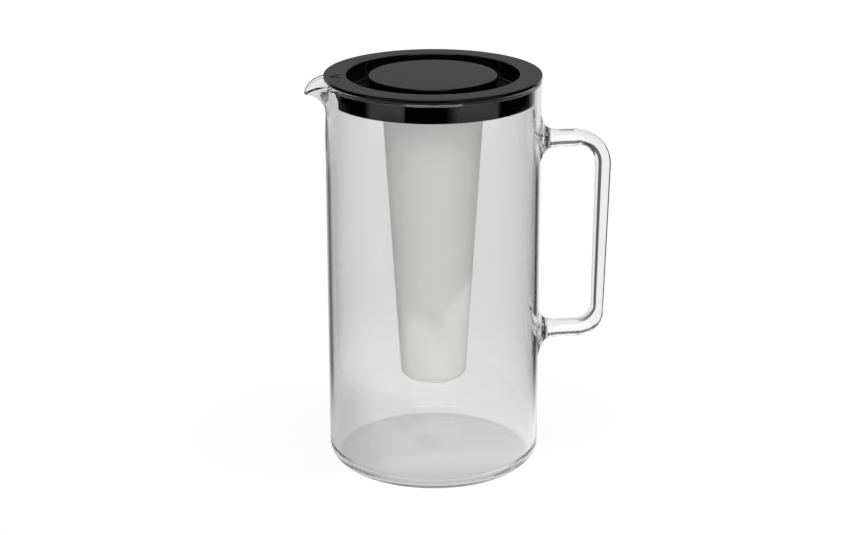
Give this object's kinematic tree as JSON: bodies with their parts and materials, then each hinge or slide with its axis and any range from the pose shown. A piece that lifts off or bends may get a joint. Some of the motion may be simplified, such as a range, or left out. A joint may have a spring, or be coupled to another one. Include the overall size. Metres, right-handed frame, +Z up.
{
  "type": "pitcher with ice core",
  "caption": "Cylindrical clear glass pitcher with beak spout and rod handle, black lid that turns to pour, and a frosted ice core screwed under the lid.",
  "frame": {"origin": "on the jug's axis, in the plane that it stands on", "axes": "+Z up along the jug's axis, +X towards the handle, -X towards the spout"},
  "size_m": [0.1804, 0.1262, 0.2361],
  "materials": {
    "clear_glass": "blown clear borosilicate, fire-polished rim",
    "rod_glass": "drawn clear borosilicate rod",
    "black_plastic": "moulded, fine matt top faces, polished groove and skirt",
    "black_silicone": "moulded, smooth",
    "frosted_plastic": "moulded translucent, frosted",
    "clear_silicone": "moulded, milky"
  },
  "bodies": {
    "jug": {"glass_body": "clear_glass", "glass_handle": "rod_glass"},
    "lid_lifted": {"lid_seal": "black_silicone"},
    "lid_turned": {"lid": "black_plastic"},
    "core_turned": {"core_seal": "clear_silicone"},
    "core": {"ice_core": "frosted_plastic"}
  },
  "joints": [
    {"name": "lid_lift", "type": "slide", "parent": "jug", "child": "lid_lifted", "axis": [0, 0, 1], "range_m": [0, 0.2]},
    {"name": "lid_turn", "type": "hinge", "parent": "lid_lifted", "child": "lid_turned", "pos_m": [0, 0, 0.2341], "axis": [0, 0, 1], "continuous": true},
    {"name": "core_unscrew", "type": "hinge", "parent": "lid_turned", "child": "core_turned", "pos_m": [0, 0, 0.2274], "axis": [0, 0, -1], "range_deg": [0, 540]},
    {"name": "core_drop", "type": "slide", "parent": "core_turned", "child": "core", "axis": [0, 0, -1], "range_m": [0, 0.006]}
  ],
  "couplings": [
    {"joint": "core_drop", "follows": "core_unscrew", "m_per_rad": 0.00063662}
  ]
}
